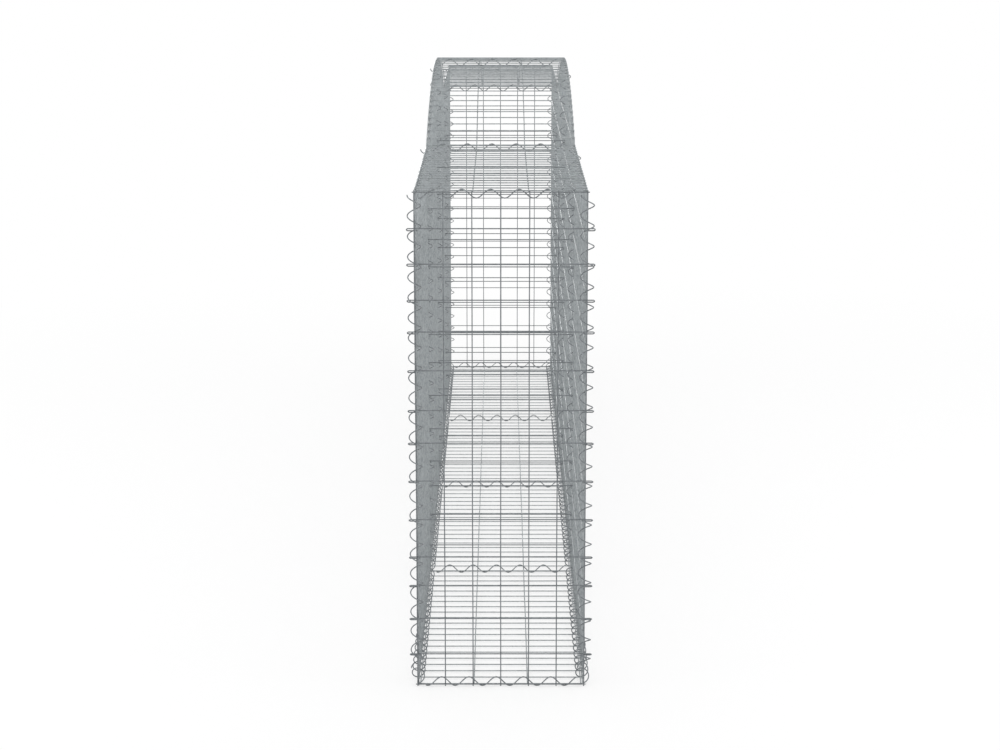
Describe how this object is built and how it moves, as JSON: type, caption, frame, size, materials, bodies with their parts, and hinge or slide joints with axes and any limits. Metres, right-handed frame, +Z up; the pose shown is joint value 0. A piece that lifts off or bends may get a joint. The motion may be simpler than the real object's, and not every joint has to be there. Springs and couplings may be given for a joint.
{
  "type": "gabion wall",
  "caption": "Empty gabion wall basket of galvanised welded wire panels in a row of bays, with an arched middle, cross ties and helical lacing coils.",
  "frame": {"origin": "on the floor under the middle of the basket, half way along and across it", "axes": "+X along the wall to its right end, +Y across it to its back, +Z up"},
  "size_m": [4.0534, 0.5474, 1.7149],
  "materials": {
    "mesh_wire": "hot-dip galvanised, dull",
    "tie_wire": "galvanised, dull",
    "coil_wire": "galvanised, a little brighter"
  },
  "bodies": {
    "root": {"front_panel_bay_1": "mesh_wire", "front_panel_bay_2": "mesh_wire", "front_panel_bay_3": "mesh_wire", "front_panel_bay_4": "mesh_wire", "back_panel_bay_1": "mesh_wire", "back_panel_bay_2": "mesh_wire", "back_panel_bay_3": "mesh_wire", "back_panel_bay_4": "mesh_wire", "floor_panel_bay_1": "mesh_wire", "floor_panel_bay_2": "mesh_wire", "floor_panel_bay_3": "mesh_wire", "floor_panel_bay_4": "mesh_wire", "lid_panel_bay_1": "mesh_wire", "lid_panel_bay_2": "mesh_wire", "lid_panel_bay_3": "mesh_wire", "lid_panel_bay_4": "mesh_wire", "end_panel_left": "mesh_wire", "end_panel_right": "mesh_wire", "cross_ties_left": "tie_wire", "cross_ties_middle": "tie_wire", "cross_ties_right": "tie_wire", "corner_coil_front_left": "coil_wire", "corner_coil_front_right": "coil_wire", "corner_coil_back_left": "coil_wire", "corner_coil_back_right": "coil_wire", "seam_coil_front_left": "coil_wire", "seam_coil_front_middle": "coil_wire", "seam_coil_front_right": "coil_wire", "seam_coil_back_left": "coil_wire", "seam_coil_back_middle": "coil_wire", "seam_coil_back_right": "coil_wire", "edge_coils_front": "coil_wire", "edge_coils_back": "coil_wire", "floor_coil_1": "coil_wire", "floor_coil_2": "coil_wire", "floor_coil_3": "coil_wire", "floor_coil_4": "coil_wire", "floor_coil_5": "coil_wire", "lid_coil_1": "coil_wire", "lid_coil_2": "coil_wire", "lid_coil_3": "coil_wire", "lid_coil_4": "coil_wire", "lid_coil_5": "coil_wire"}
  },
  "joints": []
}
